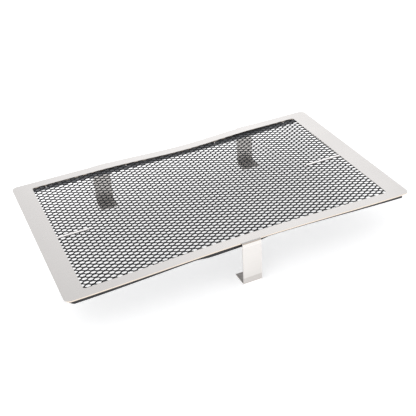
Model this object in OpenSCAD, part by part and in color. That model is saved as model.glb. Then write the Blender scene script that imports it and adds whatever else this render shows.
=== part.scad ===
// Motorcycle radiator guard: a folded sheet frame with three hooks, over a diamond grid panel.
// It stands on the lips of its hooks. The length runs along X, the front hook faces -Y.

/* [Frame sheet] */
// Length of the frame
frame_l = 360; // [300:1:420]
// Width of the frame at its corners
frame_w = 213; // [185:1:250]
// Thickness of the frame's sheet
sheet_t = 1.2; // [0.8:0.1:2]
// Rounding of the frame's outer corners
corner_r = 6; // [3:0.5:12]
// Width of the two short bars
side_bar = 20; // [14:0.5:28]
// Width of the front and rear bars
long_bar = 11; // [9:0.5:16]
// Rounding of the window's corners
window_r = 2.5; // [1:0.5:6]

/* [Waist of the long bars] */
// How far the front bar is drawn in at its waist
front_waist = 4.6; // [1:0.2:7]
// Length of the front bar's waist
front_waist_l = 380; // [300:5:400]
// How far the rear bar is drawn in at its waist
rear_waist = 5; // [1:0.2:7]
// Length of the rear bar's waist
rear_waist_l = 186; // [120:2:240]
// Middle of the rear bar's waist along the length
rear_waist_x = 15; // [-20:1:20]

/* [Hooks] */
// Overall height of the guard, from the table to the frame's top
guard_h = 49; // [36:1:60]
// Width of each hook
hook_w = 20; // [14:0.5:26]
// Length of each hook's lip, measured from the outside of the hook
lip_l = 18; // [12:0.5:26]
// Inside radius of every fold
fold_r = 1; // [0.6:0.1:2]
// Middle of the front hook along the length
front_hook_x = 2; // [-20:0.5:20]
// Middle of the left rear hook along the length
rear_left_hook_x = -80; // [-110:0.5:-50]
// Middle of the right rear hook along the length
rear_right_hook_x = 100; // [60:0.5:120]

/* [Fingers over the grid] */
// Width of the two fingers that lie over the grid
finger_w = 2.4; // [1.6:0.2:4]
// Length of the left finger
left_finger_l = 32; // [15:1:50]
// Length of the right finger
right_finger_l = 42; // [15:1:50]
// How far the fingers lie from the middle, towards the front
finger_y = 7.4; // [0:0.2:20]

/* [Grid panel] */
// How far the grid panel ends short of the frame's two ends
panel_gap = 4.5; // [3:0.5:8]
// How far the grid's folds lie inside the frame's long edges at the corners
fold_inset = 5.4; // [4:0.2:10]
// Thickness of the grid's metal
grid_t = 1.2; // [0.8:0.1:1.6]
// Height of the grid's folded borders
border_h = 7.5; // [5:0.5:12]
// Inside radius of the grid's folds
grid_fold_r = 0.8; // [0.4:0.1:2]
// Width of the solid metal between a fold, or a cut end, and the openings
margin_w = 0.8; // [0.6:0.1:5]
// Length of one diamond of the real grid
cell_l = 10; // [9:0.5:16]
// Width of one diamond of the real grid
cell_w = 5.3; // [4.8:0.1:8]
// Width of one strand of the real grid
strand_w = 1; // [0.8:0.1:1.4]
// How many times coarser the modelled diamonds are than the real ones
coarseness = 2.5; // [2:0.1:4]

/* [Grid borders as bent by hand] */
// How far the front border is drawn in
front_bow = 7.6; // [4:0.2:9]
// Length over which the front border is drawn in
front_bow_l = 400; // [340:5:420]
// Middle of the front border's bow along the length
front_bow_x = 13; // [-20:1:20]
// How far the front border bulges out again beside the hook
bulge = 3; // [0:0.2:4]
// Length of that bulge
bulge_l = 78; // [40:1:100]
// Middle of that bulge along the length
bulge_x = -13; // [-60:1:0]
// How far the rear border is drawn in
rear_bow = 4.8; // [0:0.2:7]
// Length over which the rear border is drawn in
rear_bow_l = 370; // [300:5:400]
// Middle of the rear border's bow along the length
rear_bow_x = 37; // [0:1:60]
// How much of the front border's left end is snipped off
snip = 2; // [0.5:0.5:5]

/* [Hidden] */
$fn = 64;

// Straight steps along each curved long edge
EDGE_STEPS = 36;
// Angle of each straight step round the fold of a grid border
FOLD_STEP = 30;
// An opening that the margins leave narrower than this stays solid
LEAST_OPENING = 1.2;
// How many times higher than long the snipped corner is
SNIP_RISE = 1.5;
// How far a cut, or a piece that is joined on, reaches past the surface
OVER = 1;

frame_z = guard_h - sheet_t;
fold_out = fold_r + sheet_t;
window_l = frame_l - 2 * side_bar;
panel_l = frame_l - 2 * panel_gap;

grid_fold_out = grid_fold_r + grid_t;

// The modelled diamonds, with their strands as wide in proportion as the real ones
pitch_l = cell_l * coarseness;
pitch_w = cell_w * coarseness;
open_share = 1 - strand_w * sqrt(pow(cell_l, 2) + pow(cell_w, 2)) / (cell_l * cell_w);
opening_l = pitch_l * open_share;
opening_w = pitch_w * open_share;

// A smooth swelling, 1 at its middle and 0 beyond half of its length
function bell(x, middle, length) =
    abs(x - middle) < length / 2 ? (1 + cos(360 * (x - middle) / length)) / 2 : 0;

// A flat-topped swelling with steep ends
function plateau(x, middle, length) =
    let (u = 2 * (x - middle) / length) abs(u) < 1 ? pow(1 - pow(u, 6), 2) : 0;

// The frame's long edges, moved inwards by "inset"
function front_edge(x, inset = 0) =
    -frame_w / 2 + inset + front_waist * bell(x, 0, front_waist_l);
function rear_edge(x, inset = 0) =
    frame_w / 2 - inset - rear_waist * bell(x, rear_waist_x, rear_waist_l);

// The outer faces of the grid's folded borders, moved inwards by "inset"
function front_fold(x, inset = 0) =
    -frame_w / 2 + fold_inset + inset
    + front_bow * bell(x, front_bow_x, front_bow_l)
    - bulge * plateau(x, bulge_x, bulge_l);
function rear_fold(x, inset = 0) =
    frame_w / 2 - fold_inset - inset
    - rear_bow * bell(x, rear_bow_x, rear_bow_l);

// Evenly spaced places along a length, from its left end to its right end
function places(length) = [for (i = [0:EDGE_STEPS]) length * i / EDGE_STEPS - length / 2];

// What rounding takes off a corner whose arc has its centre here, the corner lying to +X and +Y
module corner_waste(r) {
    difference() {
        square(r + OVER);
        circle(r);
    }
}

// The sheet between two ends, waisted as the long edges are, with four rounded corners
module sheet_outline(length, inset, r) {
    end = length / 2;
    arc_x = end - r;
    difference() {
        polygon([
            for (x = places(length)) [x, front_edge(x, inset)],
            for (x = places(length)) [-x, rear_edge(-x, inset)]
        ]);
        translate([arc_x, rear_edge(arc_x, inset) - r]) corner_waste(r);
        translate([-arc_x, rear_edge(-arc_x, inset) - r]) rotate(90) corner_waste(r);
        translate([-arc_x, front_edge(-arc_x, inset) + r]) rotate(180) corner_waste(r);
        translate([arc_x, front_edge(arc_x, inset) + r]) rotate(270) corner_waste(r);
    }
}

// A finger that starts at a short bar's inner edge and points to +X
module finger_outline(length) {
    translate([-OVER, -finger_w / 2]) square([length + OVER - finger_w / 2, finger_w]);
    translate([length - finger_w / 2, 0]) circle(d = finger_w);
}

// Half of a fold's ring, seen from its end, opening to +X and +Y
module fold_ring() {
    intersection() {
        difference() {
            circle(fold_out);
            circle(fold_r);
        }
        square(fold_out);
    }
}

// A hook seen from its side: X points out of the frame, Y up, the outer face at X = 0
module hook_profile() {
    translate([-fold_out - OVER, frame_z]) square([OVER, sheet_t]);
    translate([-fold_out, guard_h - fold_out]) fold_ring();
    translate([-sheet_t, fold_out]) square([sheet_t, guard_h - 2 * fold_out]);
    translate([-fold_out, fold_out]) mirror([0, 1]) fold_ring();
    translate([-lip_l, 0]) square([lip_l - fold_out, sheet_t]);
}

// Puts a hook at each of its places, turned outwards, so that its fold begins at the frame's edge
module at_hooks() {
    translate([front_hook_x, front_edge(front_hook_x) - fold_out]) rotate(180) children();
    translate([rear_left_hook_x, rear_edge(rear_left_hook_x) + fold_out]) children();
    translate([rear_right_hook_x, rear_edge(rear_right_hook_x) + fold_out]) children();
}

// The whole sheet: one piece with its window, its fingers and its three folded hooks
module frame() {
    color("gainsboro") {
        translate([0, 0, frame_z]) linear_extrude(sheet_t) {
            difference() {
                sheet_outline(frame_l, 0, corner_r);
                sheet_outline(window_l, long_bar, window_r);
            }
            translate([-window_l / 2, -finger_y]) finger_outline(left_finger_l);
            translate([window_l / 2, -finger_y]) rotate(180) finger_outline(right_finger_l);
        }
        at_hooks()
            translate([-hook_w / 2, 0, 0]) rotate([90, 0, 90]) linear_extrude(hook_w) hook_profile();
    }
}

// The part of a convex outline that lies to the left of the line from a to b
function left_of(points, a, b) =
    let (
        across = [a.y - b.y, b.x - a.x],
        side = [for (p = points) (p - a) * across],
        count = len(points)
    )
    [for (i = [0:count - 1])
        let (j = (i + 1) % count)
        each [
            if (side[i] >= 0) points[i],
            if (side[i] * side[j] < 0)
                points[i] + (points[j] - points[i]) * side[i] / (side[i] - side[j])
        ]
    ];

// A diamond opening with its middle at [x, y], cut back to the margins along folds and cut ends
function diamond(x, y) =
    let (
        tip_x = opening_l / 2,
        tip_y = opening_w / 2,
        inset = grid_fold_out + margin_w,
        end = panel_l / 2 - margin_w,
        whole = [[x + tip_x, y], [x, y + tip_y], [x - tip_x, y], [x, y - tip_y]],
        front_kept = left_of(
            whole, [x - tip_x, front_fold(x - tip_x, inset)], [x + tip_x, front_fold(x + tip_x, inset)]
        ),
        rear_kept = left_of(
            front_kept, [x + tip_x, rear_fold(x + tip_x, inset)], [x - tip_x, rear_fold(x - tip_x, inset)]
        ),
        right_kept = left_of(rear_kept, [end, 0], [end, 1])
    )
    left_of(right_kept, [-end, 1], [-end, 0]);

// The smaller side of an outline's box
function least_side(points) =
    let (xs = [for (p = points) p.x], ys = [for (p = points) p.y])
    min(max(xs) - min(xs), max(ys) - min(ys));

// One row of diamonds, every other row being shifted by half a diamond
module opening_row(row) {
    shift = row % 2 == 0 ? 0 : pitch_l / 2;
    last = ceil(panel_l / pitch_l / 2);
    for (column = [-last:last]) {
        outline = diamond(column * pitch_l + shift, row * pitch_w / 2);
        if (len(outline) > 2 && least_side(outline) > LEAST_OPENING) polygon(outline);
    }
}

// The flat field of diamonds, between the two folds
module grid_field() {
    last = ceil(frame_w / pitch_w);
    difference() {
        polygon([
            for (x = places(panel_l)) [x, front_fold(x, grid_fold_out)],
            for (x = places(panel_l)) [-x, rear_fold(-x, grid_fold_out)]
        ]);
        for (row = [-last:last]) opening_row(row);
    }
}

// A folded border's section: the distance in from its outer face, then the height
function border_section() = [
    for (a = [0:FOLD_STEP:90]) fold_point(grid_fold_out, a),
    [0, frame_z - border_h],
    [grid_t, frame_z - border_h],
    for (a = [90:-FOLD_STEP:0]) fold_point(grid_fold_r, a)
];

// A point of the fold's arc of this radius, "a" degrees down from the flat field
function fold_point(r, a) = [grid_fold_out - r * sin(a), frame_z - grid_fold_out + r * cos(a)];

// A solid whose rings of points follow each other, closed by its first and last ring
module through_rings(rings) {
    size = len(rings[0]);
    last = len(rings) - 1;
    polyhedron(
        points = [for (ring = rings) each ring],
        faces = [
            [for (i = [0:size - 1]) i],
            for (k = [0:last - 1]) for (i = [0:size - 1])
                let (j = (i + 1) % size)
                [k * size + i, (k + 1) * size + i, (k + 1) * size + j, k * size + j],
            [for (i = [size - 1:-1:0]) last * size + i]
        ]
    );
}

// The front border, folded down along its bow
module front_border() {
    through_rings([
        for (x = places(panel_l)) [for (p = border_section()) [x, front_fold(x, p[0]), p[1]]]
    ]);
}

// The rear border, folded down along its bow
module rear_border() {
    through_rings([
        for (x = places(panel_l)) [for (p = border_section()) [-x, rear_fold(-x, p[0]), p[1]]]
    ]);
}

// What is snipped off the lower corner at the front border's left end
module snipped_corner() {
    rise = SNIP_RISE * snip;
    translate([-panel_l / 2, front_fold(-panel_l / 2) + grid_t + OVER, frame_z - border_h])
        rotate([90, 0, 0]) linear_extrude(grid_t + 2 * OVER)
            polygon([[-OVER, -OVER], [snip, -OVER], [snip, 0], [0, rise], [-OVER, rise]]);
}

// The grid: one sheet of expanded metal whose solid borders are folded down along its long sides
module grid_panel() {
    color("dimgray") {
        translate([0, 0, frame_z - grid_t]) linear_extrude(grid_t) grid_field();
        rear_border();
        difference() {
            front_border();
            snipped_corner();
        }
    }
}

frame();
grid_panel();
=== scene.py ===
"""Looks of the radiator guard: its full-count expanded mesh, its bare stainless sheet and a studio."""
import math

import bpy
from mathutils import Matrix, Vector


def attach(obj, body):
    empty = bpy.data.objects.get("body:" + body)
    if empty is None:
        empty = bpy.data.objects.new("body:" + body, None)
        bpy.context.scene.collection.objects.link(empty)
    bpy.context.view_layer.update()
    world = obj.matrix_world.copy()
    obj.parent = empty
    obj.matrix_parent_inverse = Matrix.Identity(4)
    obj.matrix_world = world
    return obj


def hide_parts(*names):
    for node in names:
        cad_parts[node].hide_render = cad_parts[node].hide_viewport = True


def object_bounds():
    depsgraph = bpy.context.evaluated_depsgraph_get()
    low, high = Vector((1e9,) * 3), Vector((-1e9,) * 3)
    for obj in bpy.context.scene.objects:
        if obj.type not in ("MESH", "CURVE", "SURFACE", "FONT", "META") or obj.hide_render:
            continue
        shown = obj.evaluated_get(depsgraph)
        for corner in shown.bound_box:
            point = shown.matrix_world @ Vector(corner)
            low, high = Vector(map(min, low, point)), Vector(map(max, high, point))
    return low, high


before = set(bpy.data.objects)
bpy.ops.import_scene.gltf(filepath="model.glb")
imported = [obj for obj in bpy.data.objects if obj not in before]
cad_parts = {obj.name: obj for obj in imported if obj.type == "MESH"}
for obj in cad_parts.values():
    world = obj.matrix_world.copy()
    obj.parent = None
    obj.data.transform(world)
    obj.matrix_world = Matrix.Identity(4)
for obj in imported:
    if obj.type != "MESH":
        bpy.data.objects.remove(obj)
cad_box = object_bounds()

MM = 0.001

# Sizes of the frame, in mm: its own, then those that its box gives
SHEET_T = 1.2
HOOK_FOLD_R = 1.0
SIDE_BAR = 20.0
LONG_BAR = 11.0
REAR_WAIST = 5.0
REAR_WAIST_L = 186.0
REAR_WAIST_X = 15.0
FINGER_Y = 7.4
FINGER_W = 2.4
(left, _, _), (right, rear_hooks, top) = cad_box
FRAME_L = round((right - left) / MM, 3)
FRAME_W = round(2 * (rear_hooks / MM - HOOK_FOLD_R - SHEET_T), 3)
FRAME_Z = round(top / MM, 3) - SHEET_T
WINDOW_L = FRAME_L - 2 * SIDE_BAR

# Sizes that the grid shares with its CAD solid, in mm
PANEL_GAP = 4.5
PANEL_L = FRAME_L - 2 * PANEL_GAP
FOLD_INSET = 5.4
GRID_T = 1.2
BORDER_H = 7.5
FOLD_R = 0.8
FOLD_OUT = FOLD_R + GRID_T
MARGIN_W = 0.8
FRONT_BOW = 7.6
FRONT_BOW_L = 400.0
FRONT_BOW_X = 13.0
BULGE = 3.0
BULGE_L = 78.0
BULGE_X = -13.0
REAR_BOW = 4.8
REAR_BOW_L = 370.0
REAR_BOW_X = 37.0
SNIP = 2.0
SNIP_RISE = 1.5

# The real expanded mesh, in mm and degrees: one diamond and where it lies, its strands and bonds,
# the depth of its middle under the frame, and the shortest strip that is kept at the field's edge
CELL_L = 10.026
CELL_W = 5.31
MESH_X = 3.40
MESH_Y = -2.14
STRAND_W = 1.25
STRAND_T = 1.15
STRAND_LEAN = -24.0
STRAND_LAP = 0.96
BOND_L = 2.6
BEVEL = 0.14
MESH_DROP = 1.05
SHORTEST_STRIP = 0.3

# How the mesh drifts over the sheet, in mm per (100 mm) to each power of x and y
DRIFT_X = {(1, 0): -1.11, (0, 1): -1.97, (2, 0): 0.32, (1, 1): -0.35, (0, 2): 1.01,
           (3, 0): 0.12, (2, 1): 0.20, (1, 2): 0.39, (0, 3): 1.09}
DRIFT_Y = {(1, 0): 0.53, (0, 1): -0.86, (2, 0): 0.78, (1, 1): -0.88, (0, 2): 1.98,
           (3, 0): -0.21, (2, 1): 0.76, (1, 2): -0.11, (0, 3): 2.87}

# Steps along a folded border and round its fold, and the bevel of its rim in mm
BORDER_STEPS = 88
FOLD_ARC_STEPS = 5
RIM_BEVEL = 0.15

# Small weld beads that hold the grid, in mm: their places along X
REAR_WELDS_X = (-145.3, -54.2, 53.4, 145.6)
FRONT_WELDS_X = (-119.6, -31.2)
FINGER_WELDS_X = (-156.4, -146.4, -136.0, 120.5, 130.5, 140.5, 151.0)

# Their radii and half lengths, and how far they lie in from, out from or below the edges beside them
FRONT_WELD_R = 0.9
REAR_WELD_R = 1.2
FINGER_WELD_R = 1.1
WELD_ALONG = 0.55
FINGER_WELD_ALONG = 2.0
REAR_WELD_IN = 1.7
REAR_WELD_DROP = 0.3
FRONT_WELD_OUT = 0.5
FRONT_WELD_DROP = 1.8

# The form of every bead: how flat it is, its faces, and how far its end rings are from a point
BEAD_SQUASH = 0.8
BEAD_RINGS = 6
BEAD_SIDES = 12
BEAD_CAP = 0.35

# The camera, found by fitting the frame's edges in the photograph, in degrees, mm and pixels;
# the fit counted pixels by their middles, so the camera moves by half of one
IMAGE_PX = 416
SENSOR_MM = 36.0
FOCAL_PX = 767.0
CAMERA_AZ = -22.36
CAMERA_EL = 33.48
CAMERA_ROLL = -3.87
CAMERA_DIST = 770.3
CAMERA_TARGET = (-10.5, -33.2, 49.0)
HALF_PIXEL = 0.5
CLIP_START = 0.01
CLIP_END = 50.0

# The steel's two tones and its range of roughness, with a fine grain along the length
STEEL_DARK = (0.712, 0.686, 0.662, 1.0)
STEEL_LIGHT = (0.752, 0.728, 0.706, 1.0)
STEEL_ROUGH = (0.20, 0.32)
GRAIN_STRETCH = (18.0, 900.0, 900.0)

# What the flat sheet's cut edges that face forward are multiplied with, how far below the sheet in mm
# they still count, and the largest Y of a normal that faces forward
EDGE_WARMTH = (1.0, 0.90, 0.80, 1.0)
EDGE_DEPTH = 0.1
FORWARD = -0.7

# The fingers' painted highlight: a brighter tone that stands in for the glint along them, and how far
# from their middle line it reaches, as a share of their width
FINGER_HIGHLIGHT_TONE = (0.95, 0.92, 0.90, 1.0)
FINGER_REACH = 0.7

# Below these heights, in mm, the hooks and then their feet are rougher by these amounts
HOOK_BELOW = 44.0
HOOK_ROUGHER = 0.16
FOOT_BELOW = 8.0
FOOT_ROUGHER = 0.35

# The coating's two tones, its range of roughness and its gloss
COAT_DARK = (0.010, 0.011, 0.013, 1.0)
COAT_LIGHT = (0.028, 0.030, 0.034, 1.0)
COAT_ROUGH = (0.30, 0.50)
COAT_GLOSS = 0.38

# A paler, painted sheen on the rear border's inner side, standing in for the light it reflects: from
# which Y in m, how deep in mm, its colour
REAR_SHEEN_FROM = 0.080
REAR_SHEEN_DEPTH = 7.5
REAR_SHEEN_COLOUR = (0.50, 0.51, 0.54, 1.0)

# The weld metal's two tones and its roughness
WELD_DARK = (0.80, 0.74, 0.70, 1.0)
WELD_LIGHT = (0.95, 0.92, 0.90, 1.0)
WELD_ROUGH = 0.35

# The sky: its colour, its level at the horizon and its slope upwards
SKY_COLOUR = (0.98, 0.985, 1.0, 1.0)
SKY_LEVEL = 0.88
SKY_RISE = -0.22

# A bright, slanted panel low behind, as directions in the sky
REFLECTOR_LEVEL = 0.90
REFLECTOR_X = 0.37
REFLECTOR_Z = 0.51
REFLECTOR_TILT = 0.18
REFLECTOR_WIDE = 0.30
REFLECTOR_HIGH = 0.13

# The floor, in m: half of its side, and its height, just under the lips so that no faces coincide
FLOOR_HALF = 6.0
FLOOR_Z = -0.00005
FLOOR_COLOUR = (0.92, 0.92, 0.92, 1.0)
FLOOR_ROUGH = 0.9

# How it glows where it is seen or mirrored: evenly, more in front of the guard, and more below it
# and behind it, with the Y in m between which each change is made
FLOOR_GLOW = 0.47
FRONT_FROM = -0.10
FRONT_TO = -0.14
FRONT_GLOW = 0.22
SWEEP_FROM = -0.075
SWEEP_TO = 0.01
SWEEP_GLOW = 0.155
SWEEP_MIRRORED = 0.6

# One broad lamp overhead
LAMP_WATTS = 3.7
LAMP_AT = (-0.9, -0.7, 1.5)
LAMP_SIZE = 1.0

# Where a Mix node has its factor and two colours, and its mixed colour
MIX_INPUTS = (0, 6, 7)
MIX_RESULT = 2


def bell(x, middle, length):
    """A smooth swelling, 1 at its middle and 0 beyond half of its length."""
    if abs(x - middle) >= length / 2:
        return 0.0
    return (1 + math.cos(2 * math.pi * (x - middle) / length)) / 2


def plateau(x, middle, length):
    """A flat-topped swelling with steep ends."""
    u = 2 * (x - middle) / length
    return (1 - u ** 6) ** 2 if abs(u) < 1 else 0.0


def front_fold(x, inset=0.0):
    """Y of the front border's outer face, moved inwards by inset."""
    return (-FRAME_W / 2 + FOLD_INSET + inset
            + FRONT_BOW * bell(x, FRONT_BOW_X, FRONT_BOW_L)
            - BULGE * plateau(x, BULGE_X, BULGE_L))


def rear_fold(x, inset=0.0):
    """Y of the rear border's outer face, moved inwards by inset."""
    return FRAME_W / 2 - FOLD_INSET - inset - REAR_BOW * bell(x, REAR_BOW_X, REAR_BOW_L)


def rear_window(x):
    """Y of the window's rear edge, where the waist of the rear bar swells into it."""
    return FRAME_W / 2 - LONG_BAR - REAR_WAIST * bell(x, REAR_WAIST_X, REAR_WAIST_L)


class Shell:
    """Collects points and faces, in mm, for one mesh."""

    def __init__(self):
        self.points = []
        self.faces = []

    def sweep(self, rings):
        """Adds a closed solid through rings of points that all have the same count."""
        size = len(rings[0])
        base = len(self.points)
        for ring in rings:
            self.points.extend(ring)
        last = len(rings) - 1
        self.faces.append([base + i for i in range(size)])
        for k in range(last):
            for i in range(size):
                j = (i + 1) % size
                low, high = base + k * size, base + (k + 1) * size
                self.faces.append([low + i, high + i, high + j, low + j])
        self.faces.append([base + last * size + i for i in reversed(range(size))])

    def build(self, name, material, smooth_under):
        """Makes the object, shaded smooth where faces meet under the given angle."""
        mesh = bpy.data.meshes.new(name)
        mesh.from_pydata([[c * MM for c in p] for p in self.points], [], self.faces)
        mesh.validate()
        mesh.update()
        obj = bpy.data.objects.new(name, mesh)
        bpy.context.scene.collection.objects.link(obj)
        mesh.materials.append(material)
        mesh.shade_smooth()
        mesh.set_sharp_from_angle(angle=math.radians(smooth_under))
        return obj


def strand_section():
    """The strand's bevelled section, as (along its width, along its thickness), centred."""
    w, t, b = STRAND_W / 2, STRAND_T / 2, BEVEL
    return [(w, -t + b), (w, t - b), (w - b, t), (-w + b, t),
            (-w, t - b), (-w, -t + b), (-w + b, -t), (w - b, -t)]


def strand_ring(x, y, z, section, lean):
    """The section set up across the length at a point of a strip's middle line."""
    c, s = math.cos(lean), math.sin(lean)
    return [(x, y + a * c - b * s, z + a * s + b * c) for a, b in section]


def drift(x, y):
    """Where the stretched sheet carries a point of the regular mesh."""
    u, v = x / 100, y / 100
    return (x + sum(k * u ** i * v ** j for (i, j), k in DRIFT_X.items()),
            y + sum(k * u ** i * v ** j for (i, j), k in DRIFT_Y.items()))


def strip_knots(row):
    """Middle line of one zigzag strip as (x, y, height), from end to end of the panel."""
    lean = math.radians(STRAND_LEAN)
    y_low = MESH_Y + row * CELL_W / 2
    off_y = STRAND_W / 2 * math.cos(lean) * STRAND_LAP
    off_z = STRAND_W / 2 * math.sin(lean) * STRAND_LAP
    valley = (y_low + off_y, off_z)
    peak = (y_low + CELL_W / 2 - off_y, -off_z)
    shift = MESH_X + (CELL_L / 2 if row % 2 else 0.0)
    first = math.floor((-PANEL_L / 2 - shift) / (CELL_L / 2)) - 2
    last = math.ceil((PANEL_L / 2 - shift) / (CELL_L / 2)) + 2
    knots = []
    for k in range(first, last + 1):
        y, z = valley if k % 2 == 0 else peak
        x = shift + k * CELL_L / 2
        for side in (-BOND_L / 2, BOND_L / 2):
            knots.append((*drift(x + side, y), z))
    return knots


def inside(x, y):
    """How far a point lies inside the field of openings; negative outside."""
    reach = FOLD_OUT + MARGIN_W / 2
    return min(y - front_fold(x, reach), rear_fold(x, reach) - y, PANEL_L / 2 - abs(x))


def kept_runs(knots):
    """Cuts a middle line into the stretches that lie inside the field."""
    runs, run = [], []
    for a, b in zip(knots, knots[1:]):
        da, db = inside(a[0], a[1]), inside(b[0], b[1])
        if da >= 0 and not run:
            run = [a]
        if da >= 0 and db >= 0:
            run.append(b)
        elif da >= 0 or db >= 0:
            t = da / (da - db)
            cut = tuple(p + (q - p) * t for p, q in zip(a, b))
            if da >= 0:
                runs.append(run + [cut])
                run = []
            else:
                run = [cut, b]
    if run:
        runs.append(run)
    return [r for r in runs if len(r) > 1 and r[-1][0] - r[0][0] > SHORTEST_STRIP]


def add_strips(shell):
    """Every zigzag strip of the expanded mesh."""
    lean = math.radians(STRAND_LEAN)
    section = strand_section()
    level = FRAME_Z - MESH_DROP
    count = math.ceil(FRAME_W / CELL_W) + 2
    for row in range(-count, count):
        for run in kept_runs(strip_knots(row)):
            shell.sweep([strand_ring(x, y, level + z, section, lean) for x, y, z in run])


def fold_point(r, turn):
    """A point of the fold's arc of this radius, turned down from the flat field."""
    return (FOLD_OUT - r * math.sin(turn), FRAME_Z - FOLD_OUT + r * math.cos(turn))


def border_section(low):
    """A folded border's section: the distance in from its outer face, then the height."""
    turns = [math.pi / 2 * i / FOLD_ARC_STEPS for i in range(FOLD_ARC_STEPS + 1)]
    flat = FOLD_OUT + MARGIN_W
    return ([(flat, FRAME_Z)] + [fold_point(FOLD_OUT, a) for a in turns]
            + [(0.0, low + RIM_BEVEL), (RIM_BEVEL, low)]
            + [(GRID_T - RIM_BEVEL, low), (GRID_T, low + RIM_BEVEL)]
            + [fold_point(FOLD_R, a) for a in reversed(turns)] + [(flat, FRAME_Z - GRID_T)])


def add_borders(shell):
    """The two solid borders, folded down along the long sides."""
    low = FRAME_Z - BORDER_H
    places = [PANEL_L * (i / BORDER_STEPS - 0.5) for i in range(BORDER_STEPS + 1)]
    front = []
    for x in places:
        raised = low + max(0.0, SNIP_RISE * (SNIP - (x + PANEL_L / 2)))
        front.append([(x, front_fold(x, a), z) for a, z in border_section(raised)])
    shell.sweep(front)
    shell.sweep([[(-x, rear_fold(-x, a), z) for a, z in border_section(low)] for x in places])


def node(tree, kind, **inputs):
    """A shader node with some of its properties or inputs set."""
    made = tree.nodes.new(kind)
    for name, value in inputs.items():
        if hasattr(made, name):
            setattr(made, name, value)
        else:
            made.inputs[name].default_value = value
    return made


def feed(tree, socket, value):
    """Links an input to another node's output, or sets it to a value."""
    if isinstance(value, bpy.types.NodeSocket):
        tree.links.new(value, socket)
    else:
        socket.default_value = value


def maths(tree, operation, *values):
    """The result of one math node; each value is an output or a number."""
    made = node(tree, "ShaderNodeMath", operation=operation)
    for socket, value in zip(made.inputs, values):
        feed(tree, socket, value)
    return made.outputs["Value"]


def blend(tree, factor, first, second, kind="MIX"):
    """Two colours mixed by a factor."""
    made = node(tree, "ShaderNodeMix", data_type="RGBA", blend_type=kind)
    for place, value in zip(MIX_INPUTS, (factor, first, second)):
        feed(tree, made.inputs[place], value)
    return made.outputs[MIX_RESULT]


def noise(tree, vector, scale, detail, roughness=0.5):
    """The value of a noise texture."""
    made = node(tree, "ShaderNodeTexNoise", Scale=scale, Detail=detail, Roughness=roughness)
    tree.links.new(vector, made.inputs["Vector"])
    return made.outputs["Fac"]


def carried(tree, value, start, end, low=0.0, high=1.0, kind="LINEAR"):
    """A value carried from one range to another, and held at its ends."""
    made = node(tree, "ShaderNodeMapRange", interpolation_type=kind)
    for name, number in (("From Min", start), ("From Max", end), ("To Min", low), ("To Max", high)):
        made.inputs[name].default_value = number
    tree.links.new(value, made.inputs["Value"])
    return made.outputs["Result"]


def place_on(tree, kind="Object"):
    """Where a point lies on its object, or in which direction it lies in the sky."""
    made = tree.nodes.new("ShaderNodeTexCoord")
    return made.outputs[kind]


def axes(tree, vector):
    """The three parts of a vector, by name."""
    made = tree.nodes.new("ShaderNodeSeparateXYZ")
    tree.links.new(vector, made.inputs["Vector"])
    return made.outputs


def emboss(tree, shader, height, strength, distance):
    """Fine relief on a shader."""
    made = node(tree, "ShaderNodeBump", Strength=strength, Distance=distance)
    tree.links.new(height, made.inputs["Height"])
    tree.links.new(made.outputs["Normal"], shader.inputs["Normal"])


def new_material(name):
    """A new material, its node tree and its Principled shader."""
    material = bpy.data.materials.new(name)
    material.use_nodes = True
    tree = material.node_tree
    return material, tree, tree.nodes["Principled BSDF"]


def facing_forward(tree):
    """A value that is 1 on surfaces that face forward, towards -Y."""
    geometry = tree.nodes.new("ShaderNodeNewGeometry")
    return maths(tree, "LESS_THAN", axes(tree, geometry.outputs["True Normal"])["Y"], FORWARD)


def forward_edges(tree, at):
    """A value that is 1 on the sheet's cut edges that face forward."""
    above = maths(tree, "GREATER_THAN", at["Z"], (FRAME_Z - EDGE_DEPTH) * MM)
    return maths(tree, "MULTIPLY", facing_forward(tree), above)


def on_fingers(tree, at):
    """A value that is 1 on the two thin fingers, inside the window's short sides, where the painted
    highlight lies.
    """
    near = maths(tree, "COMPARE", at["Y"], -FINGER_Y * MM, FINGER_W * FINGER_REACH * MM)
    within = maths(tree, "LESS_THAN", maths(tree, "ABSOLUTE", at["X"]), WINDOW_L / 2 * MM)
    return maths(tree, "MULTIPLY", near, within)


def stainless():
    """Bare stainless sheet with a fine rolled grain along its length, warm cut edges and a painted
    highlight on the fingers.
    """
    material, tree, shader = new_material("stainless_sheet")
    shader.inputs["Metallic"].default_value = 1.0
    place = place_on(tree)
    at = axes(tree, place)
    stretch = node(tree, "ShaderNodeMapping", Scale=GRAIN_STRETCH)
    tree.links.new(place, stretch.inputs["Vector"])
    grain = noise(tree, stretch.outputs["Vector"], scale=1.0, detail=4.0, roughness=0.6)
    clouds = noise(tree, place, scale=14.0, detail=3.0)

    tone = blend(tree, grain, STEEL_DARK, STEEL_LIGHT)
    tone = blend(tree, forward_edges(tree, at), tone, EDGE_WARMTH, kind="MULTIPLY")
    # Painted highlight: the fingers get a brighter tone that stands in for the glint along them
    tone = blend(tree, on_fingers(tree, at), tone, FINGER_HIGHLIGHT_TONE)
    tree.links.new(tone, shader.inputs["Base Color"])

    rough = carried(tree, clouds, 0.0, 1.0, *STEEL_ROUGH)
    for height, rougher in ((HOOK_BELOW, HOOK_ROUGHER), (FOOT_BELOW, FOOT_ROUGHER)):
        below = maths(tree, "LESS_THAN", at["Z"], height * MM)
        rough = maths(tree, "MULTIPLY_ADD", below, rougher, rough)
    tree.links.new(rough, shader.inputs["Roughness"])
    emboss(tree, shader, grain, strength=0.06, distance=0.0002)
    return material


def painted_rear_sheen(tree, at):
    """How strongly the painted sheen lies on a point: only on the rear border's inner side, more towards
    its rim.
    """
    rear = maths(tree, "GREATER_THAN", at["Y"], REAR_SHEEN_FROM)
    inner = maths(tree, "MULTIPLY", facing_forward(tree), rear)
    deep = carried(tree, at["Z"], (FRAME_Z - GRID_T) * MM, (FRAME_Z - REAR_SHEEN_DEPTH) * MM)
    return maths(tree, "MULTIPLY", inner, deep)


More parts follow.
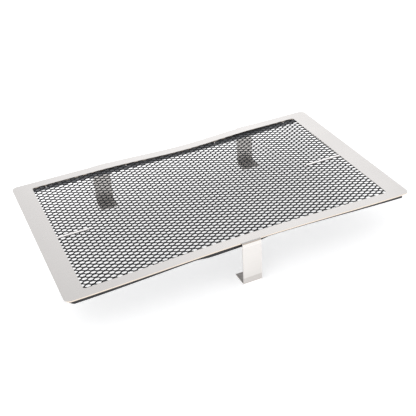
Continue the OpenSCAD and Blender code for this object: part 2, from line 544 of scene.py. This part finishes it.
def black_coating():
    """Thin black coating with a fine orange-peel texture, slightly paler, rubbed spots and a painted
    sheen on the rear border's inner side.
    """
    material, tree, shader = new_material("black_coating")
    place = place_on(tree)
    peel = noise(tree, place, scale=1400.0, detail=3.0)
    patches = noise(tree, place, scale=55.0, detail=4.0)
    colour = blend(tree, patches, COAT_DARK, COAT_LIGHT)
    # Painted sheen: a paler grey on the rear border's inner side stands in for the light that it reflects
    colour = blend(tree, painted_rear_sheen(tree, axes(tree, place)), colour, REAR_SHEEN_COLOUR)
    tree.links.new(colour, shader.inputs["Base Color"])
    tree.links.new(carried(tree, patches, 0.0, 1.0, *COAT_ROUGH), shader.inputs["Roughness"])
    shader.inputs["Specular IOR Level"].default_value = COAT_GLOSS
    emboss(tree, shader, peel, strength=0.15, distance=0.0001)
    return material


def weld_metal():
    """Bright, slightly uneven weld metal."""
    material, tree, shader = new_material("weld_metal")
    shader.inputs["Metallic"].default_value = 1.0
    mottle = noise(tree, place_on(tree), scale=900.0, detail=3.0)
    tree.links.new(blend(tree, mottle, WELD_DARK, WELD_LIGHT), shader.inputs["Base Color"])
    shader.inputs["Roughness"].default_value = WELD_ROUGH
    emboss(tree, shader, mottle, strength=0.3, distance=0.0002)
    return material


def expanded_grid():
    """The grid panel at its real fineness."""
    shell = Shell()
    add_strips(shell)
    add_borders(shell)
    return shell.build("expanded_grid", black_coating(), smooth_under=40.0)


def bead(shell, place, along, radius):
    """A low oval lump of weld metal, round its middle point."""
    x, y, z = place
    rings = []
    for i in range(BEAD_RINGS + 1):
        turn = math.pi * (i + BEAD_CAP) / (BEAD_RINGS + 2 * BEAD_CAP)
        r, step = radius * math.sin(turn), -along * math.cos(turn)
        rings.append([(x + step, y + r * math.cos(a), z + r * BEAD_SQUASH * math.sin(a))
                      for a in (2 * math.pi * k / BEAD_SIDES for k in range(BEAD_SIDES))])
    shell.sweep(rings)


def weld_beads():
    """The short welds that hold the grid to the frame, at the long bars and on the fingers."""
    shell = Shell()
    for x in REAR_WELDS_X:
        place = (x, rear_window(x) - REAR_WELD_IN, FRAME_Z - REAR_WELD_DROP)
        bead(shell, place, WELD_ALONG, REAR_WELD_R)
    for x in FRONT_WELDS_X:
        place = (x, front_fold(x) - FRONT_WELD_OUT, FRAME_Z - FRONT_WELD_DROP)
        bead(shell, place, WELD_ALONG, FRONT_WELD_R)
    for x in FINGER_WELDS_X:
        place = (x, -FINGER_Y, FRAME_Z + SHEET_T - FINGER_WELD_R * BEAD_SQUASH)
        bead(shell, place, FINGER_WELD_ALONG, FINGER_WELD_R)
    return shell.build("weld_beads", weld_metal(), smooth_under=70.0)


def camera():
    """The photograph's camera."""
    az, el, roll = (math.radians(a) for a in (CAMERA_AZ, CAMERA_EL, CAMERA_ROLL))
    back = Vector((math.cos(el) * math.sin(az), -math.cos(el) * math.cos(az), math.sin(el)))
    level = (-back).cross(Vector((0, 0, 1))).normalized()
    upright = level.cross(-back)
    right = math.cos(roll) * level + math.sin(roll) * upright
    up = math.cos(roll) * upright - math.sin(roll) * level
    data = bpy.data.cameras.new("camera")
    data.sensor_width = SENSOR_MM
    data.lens = SENSOR_MM * FOCAL_PX / IMAGE_PX
    data.clip_start = CLIP_START
    data.clip_end = CLIP_END
    obj = bpy.data.objects.new("camera", data)
    nudge = (up - right) * (HALF_PIXEL * CAMERA_DIST / FOCAL_PX)
    place = (Vector(CAMERA_TARGET) + back * CAMERA_DIST + nudge) * MM
    turn = Matrix((right, up, back)).transposed().to_4x4()
    obj.matrix_world = Matrix.Translation(place) @ turn
    bpy.context.scene.collection.objects.link(obj)
    bpy.context.scene.camera = obj


def away(tree, value, middle, width):
    """Squared distance of a value from the reflector's middle, in units of its width."""
    near = maths(tree, "MULTIPLY_ADD", value, 1 / width, -middle / width)
    return maths(tree, "MULTIPLY", near, near)


def sky():
    """A soft sky with a bright, slanted panel low behind the guard."""
    world = bpy.data.worlds.new("studio")
    bpy.context.scene.world = world
    world.use_nodes = True
    tree = world.node_tree
    at = axes(tree, place_on(tree, "Generated"))
    slanted = maths(tree, "MULTIPLY_ADD", at["X"], -REFLECTOR_TILT, at["Z"])
    middle = REFLECTOR_Z - REFLECTOR_TILT * REFLECTOR_X
    far = maths(tree, "ADD", away(tree, at["X"], REFLECTOR_X, REFLECTOR_WIDE),
                away(tree, slanted, middle, REFLECTOR_HIGH))
    behind = carried(tree, at["Y"], 0.0, 1.0, kind="SMOOTHSTEP")
    panel = maths(tree, "MULTIPLY", maths(tree, "POWER", 1 / math.e, far), behind)
    even = maths(tree, "MULTIPLY_ADD", at["Z"], SKY_RISE, SKY_LEVEL)
    background = tree.nodes["Background"]
    background.inputs["Color"].default_value = SKY_COLOUR
    level = maths(tree, "MULTIPLY_ADD", panel, REFLECTOR_LEVEL, even)
    tree.links.new(level, background.inputs["Strength"])


def floor_glow(tree):
    """How strongly the floor glows: for camera, glossy and transmission rays only."""
    across = axes(tree, place_on(tree))["Y"]
    rays = tree.nodes.new("ShaderNodeLightPath").outputs
    seen = maths(tree, "MAXIMUM", rays["Is Camera Ray"], rays["Is Glossy Ray"])
    seen = maths(tree, "MAXIMUM", seen, rays["Is Transmission Ray"])
    front = carried(tree, across, FRONT_FROM, FRONT_TO, FLOOR_GLOW, FLOOR_GLOW + FRONT_GLOW, "SMOOTHSTEP")
    sweep = carried(tree, across, SWEEP_FROM, SWEEP_TO, 0.0, SWEEP_GLOW, "SMOOTHSTEP")
    swept = maths(tree, "MULTIPLY_ADD", rays["Is Glossy Ray"], SWEEP_MIRRORED, rays["Is Camera Ray"])
    return maths(tree, "MULTIPLY_ADD", seen, front, maths(tree, "MULTIPLY", sweep, swept))


def white_floor():
    """A wide, pale floor that keeps the guard's shadow and glows a little where it is seen."""
    corners = [(x * FLOOR_HALF, y * FLOOR_HALF, FLOOR_Z)
               for x, y in ((-1, -1), (1, -1), (1, 1), (-1, 1))]
    mesh = bpy.data.meshes.new("floor")
    mesh.from_pydata(corners, [], [(0, 1, 2, 3)])
    floor = bpy.data.objects.new("floor", mesh)
    bpy.context.scene.collection.objects.link(floor)

    material, tree, shader = new_material("floor")
    shader.inputs["Base Color"].default_value = FLOOR_COLOUR
    shader.inputs["Roughness"].default_value = FLOOR_ROUGH
    shader.inputs["Specular IOR Level"].default_value = 0.0
    glow = tree.nodes.new("ShaderNodeEmission")
    glow.inputs["Color"].default_value = (1.0, 1.0, 1.0, 1.0)
    tree.links.new(floor_glow(tree), glow.inputs["Strength"])
    both = tree.nodes.new("ShaderNodeAddShader")
    tree.links.new(shader.outputs["BSDF"], both.inputs[0])
    tree.links.new(glow.outputs["Emission"], both.inputs[1])
    tree.links.new(both.outputs["Shader"], tree.nodes["Material Output"].inputs["Surface"])
    mesh.materials.append(material)


def overhead_lamp():
    """One broad, square lamp that looks at the guard."""
    data = bpy.data.lights.new("overhead", "AREA")
    data.shape = "RECTANGLE"
    data.size = LAMP_SIZE
    data.size_y = LAMP_SIZE
    data.energy = LAMP_WATTS
    lamp = bpy.data.objects.new("overhead", data)
    lamp.location = LAMP_AT
    lamp.rotation_euler = Vector(LAMP_AT).to_track_quat("Z", "Y").to_euler()
    bpy.context.scene.collection.objects.link(lamp)


def studio():
    """A white floor under a soft sky, and one broad lamp overhead."""
    bpy.context.scene.view_settings.view_transform = "Standard"
    sky()
    white_floor()
    overhead_lamp()


camera()
studio()

grid = expanded_grid()
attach(grid, "root")
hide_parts("grid_panel")

beads = weld_beads()
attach(beads, "root")

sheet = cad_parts["frame"]
sheet.data.materials.clear()
sheet.data.materials.append(stainless())
